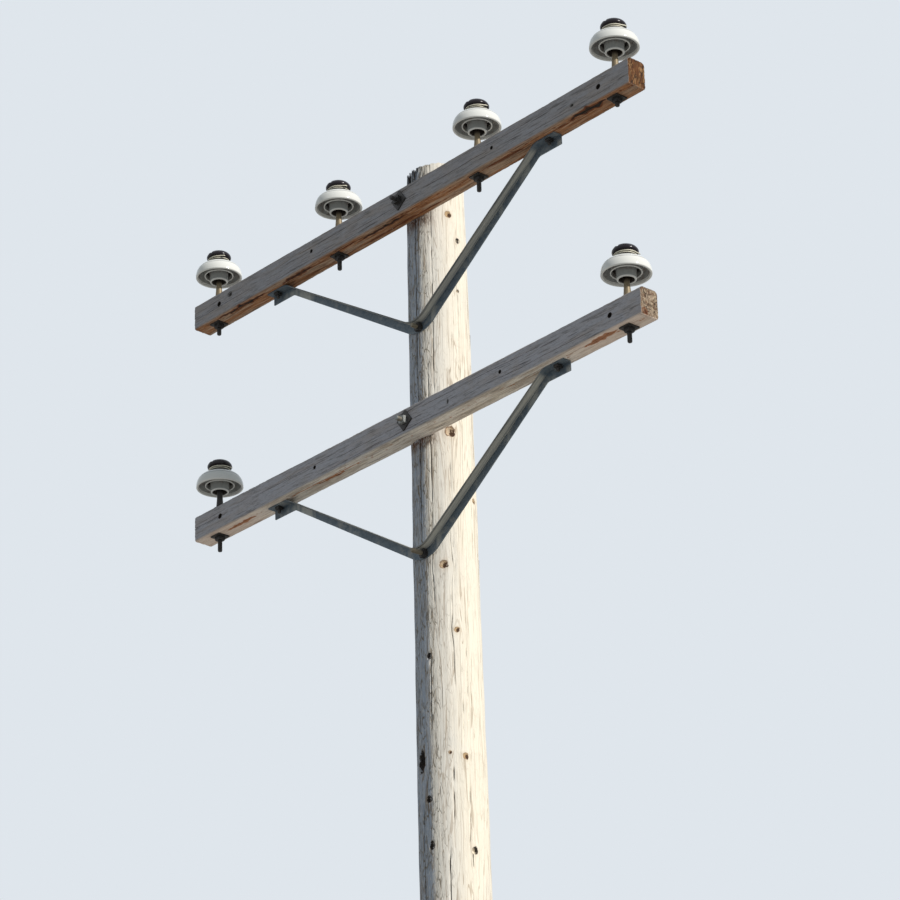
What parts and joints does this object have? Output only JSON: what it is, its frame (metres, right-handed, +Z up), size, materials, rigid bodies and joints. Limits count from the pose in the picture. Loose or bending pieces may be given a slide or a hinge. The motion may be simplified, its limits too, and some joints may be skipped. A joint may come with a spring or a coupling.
{
  "type": "wooden utility pole",
  "caption": "Round weathered wooden utility pole with two sawn timber crossarms, porcelain pin insulators and V-shaped angle-steel braces.",
  "frame": {"origin": "centre of the pole at ground level", "axes": "+Z up along the pole, +X along the crossarms, -Y out of the side of the pole that carries the crossarms"},
  "size_m": [2.4384, 0.4012, 10.4496],
  "materials": {
    "pole_wood": "weathered, grey-cream with dark checks",
    "arm_wood": "weathered grey sawn timber",
    "galvanised_steel": "dull galvanised",
    "bolt_steel": "dull galvanised, stained",
    "rusted_steel": "rusted",
    "porcelain": "glossy glaze, near-black brown crown",
    "tie_wire": "dull"
  },
  "bodies": {
    "root": {"pole": "pole_wood", "crossarm_upper": "arm_wood", "crossarm_lower": "arm_wood", "brace_upper": "galvanised_steel", "arm_bolt_upper": "bolt_steel", "arm_bolt_washer_upper": "bolt_steel", "arm_bolt_nut_upper": "bolt_steel", "arm_bolt_back_washer_upper": "bolt_steel", "brace_bolt_upper": "bolt_steel", "brace_bolt_washer_upper": "bolt_steel", "brace_bolt_nut_upper": "bolt_steel", "brace_bolt_back_washer_upper": "bolt_steel", "brace_end_bolts_upper": "bolt_steel", "brace_end_nuts_upper": "bolt_steel", "neck_ties_upper": "tie_wire", "pin_washers_upper": "bolt_steel", "pin_nuts_upper": "bolt_steel", "brace_lower": "galvanised_steel", "arm_bolt_lower": "bolt_steel", "arm_bolt_washer_lower": "bolt_steel", "arm_bolt_nut_lower": "bolt_steel", "arm_bolt_back_washer_lower": "bolt_steel", "brace_bolt_lower": "bolt_steel", "brace_bolt_washer_lower": "bolt_steel", "brace_bolt_nut_lower": "bolt_steel", "brace_bolt_back_washer_lower": "bolt_steel", "brace_end_bolts_lower": "bolt_steel", "brace_end_nuts_lower": "bolt_steel", "neck_ties_lower": "tie_wire", "pin_washers_lower": "bolt_steel", "pin_nuts_lower": "bolt_steel", "insulator_1": "porcelain", "insulator_2": "porcelain", "insulator_3": "porcelain", "insulator_4": "porcelain", "insulator_5": "porcelain", "insulator_6": "porcelain", "insulator_pin_1": "rusted_steel", "insulator_pin_2": "rusted_steel", "insulator_pin_3": "rusted_steel", "insulator_pin_4": "rusted_steel", "insulator_pin_5": "rusted_steel", "insulator_pin_6": "rusted_steel"}
  },
  "joints": []
}
